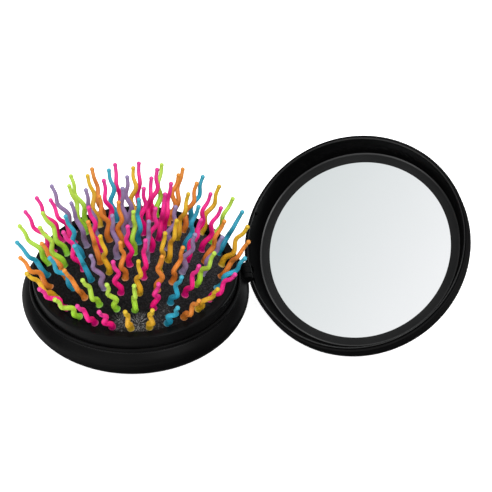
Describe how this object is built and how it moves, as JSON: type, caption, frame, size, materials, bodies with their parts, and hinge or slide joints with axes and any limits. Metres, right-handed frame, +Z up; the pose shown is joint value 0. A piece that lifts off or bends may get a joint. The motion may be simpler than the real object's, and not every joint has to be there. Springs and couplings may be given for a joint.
{
  "type": "folding hairbrush with mirror",
  "caption": "Round folding hairbrush: a mirror lid on a slanted hinge and a pop-up cushion pad with wavy coloured bristles.",
  "frame": {"origin": "centre of the finger opening in the plane of the underside", "axes": "+Z up along the lower shell's axis, the hinge lies towards +X, the lid is open and the pad is raised"},
  "size_m": [0.15, 0.0778, 0.0484],
  "materials": {
    "shell_black": "satin black moulded plastic",
    "frame_black": "fine grained dark plastic",
    "inner_grey": "plain dark grey plastic",
    "foot_rubber": "soft matte rubber",
    "ring_rubber": "smooth rubber",
    "pin_steel": "drawn steel",
    "cushion_rubber": "dark rubber with a fine grain",
    "bristle_pink": "soft satin plastic",
    "bristle_lime": "soft satin plastic",
    "bristle_blue": "soft satin plastic",
    "bristle_orange": "soft satin plastic",
    "bristle_yellow": "soft satin plastic",
    "bristle_lavender": "soft satin plastic",
    "bezel_black": "satin black plastic",
    "mirror": "polished glass mirror",
    "foam": "closed foam"
  },
  "bodies": {
    "base": {"base_shell": "shell_black", "base_rim": "shell_black", "guide_sleeve": "inner_grey", "foot_ring": "foot_rubber", "friction_ring": "ring_rubber", "hinge_pin": "pin_steel"},
    "pad": {"press_cup": "inner_grey", "pad_carrier": "inner_grey", "carrier_screws": "pin_steel", "pad_frame": "frame_black", "cushion": "cushion_rubber", "bristles_pink": "bristle_pink", "bristles_lime": "bristle_lime", "bristles_blue": "bristle_blue", "bristles_orange": "bristle_orange", "bristles_yellow": "bristle_yellow", "bristles_lavender": "bristle_lavender"},
    "lid": {"lid_shell": "shell_black", "lid_liner": "shell_black", "mirror_bezel": "bezel_black", "mirror_glass": "mirror", "mirror_backing": "foam"}
  },
  "joints": [
    {"name": "lid_hinge", "type": "hinge", "parent": "base", "child": "lid", "pos_m": [0.0375, 0, 0.01645], "axis": [0, 0.9681, 0.2504], "range_deg": [-161.7, 0]},
    {"name": "pad_slide", "type": "slide", "parent": "base", "child": "pad", "axis": [0, 0, 1], "range_m": [-0.0093, 0], "deforming": ["cushion", "bristles_pink", "bristles_lime", "bristles_blue", "bristles_orange", "bristles_yellow", "bristles_lavender"]}
  ],
  "couplings": [
    {"joint": "pad_slide", "follows": "lid_hinge", "m_per_rad": 0.003295}
  ]
}
